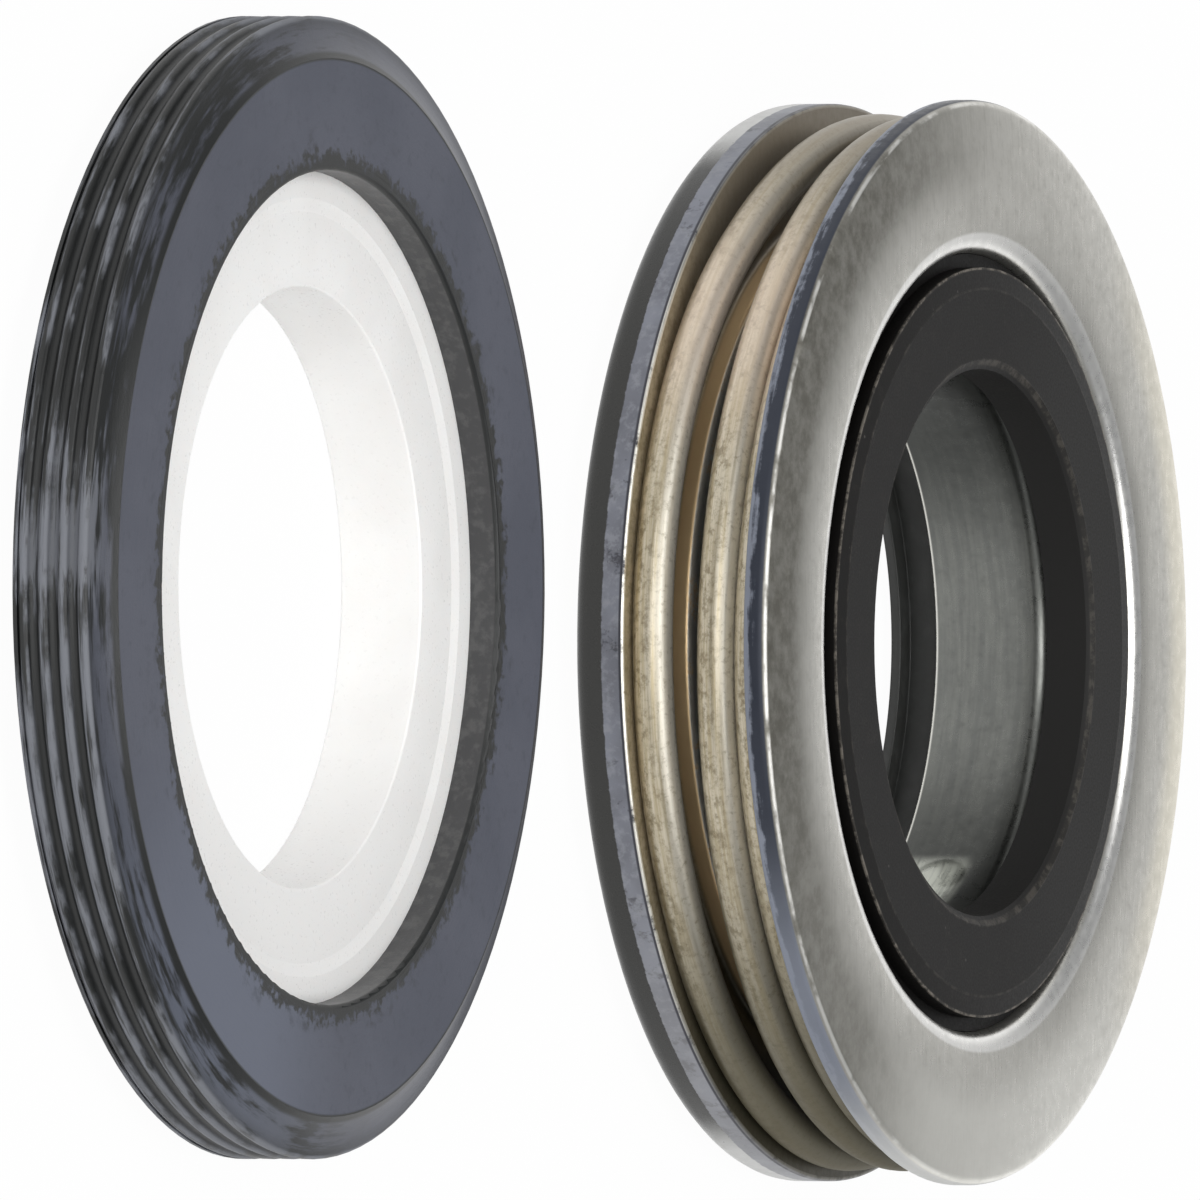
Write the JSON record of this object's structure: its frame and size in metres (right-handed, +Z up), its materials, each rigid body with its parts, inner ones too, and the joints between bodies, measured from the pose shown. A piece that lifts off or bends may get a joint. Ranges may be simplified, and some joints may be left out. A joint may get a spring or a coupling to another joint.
{
  "type": "mechanical seal",
  "caption": "Pump shaft seal in its two halves: a ceramic seat in a ribbed rubber cup, and a sprung carbon ring in a drawn steel shell with a rubber boot.",
  "frame": {"origin": "middle of the pair's footprint, on the surface both halves lie on", "axes": "+Z up along the bores of both halves, towards the carbon running face; +Y from the seat to the spring half"},
  "size_m": [0.0346, 0.0738, 0.007],
  "materials": {
    "cup_rubber": "matte",
    "white_ceramic": "satin",
    "plate_steel": "satin",
    "shell_steel": "satin",
    "carbon": "satin",
    "boot_rubber": "matte",
    "spring_steel": "satin"
  },
  "bodies": {
    "base": {"seat_cup": "cup_rubber", "seat_ring": "white_ceramic", "rear_plate": "plate_steel", "boot": "boot_rubber", "spring": "spring_steel"},
    "front": {"front_shell": "shell_steel", "carbon_ring": "carbon"}
  },
  "joints": [
    {"name": "compression", "type": "slide", "parent": "base", "child": "front", "axis": [0, 0, -1], "range_m": [0, 0.0005], "stiffness_N_per_m": 200, "springref_m": -0.001, "deforming": ["spring", "boot"]}
  ]
}
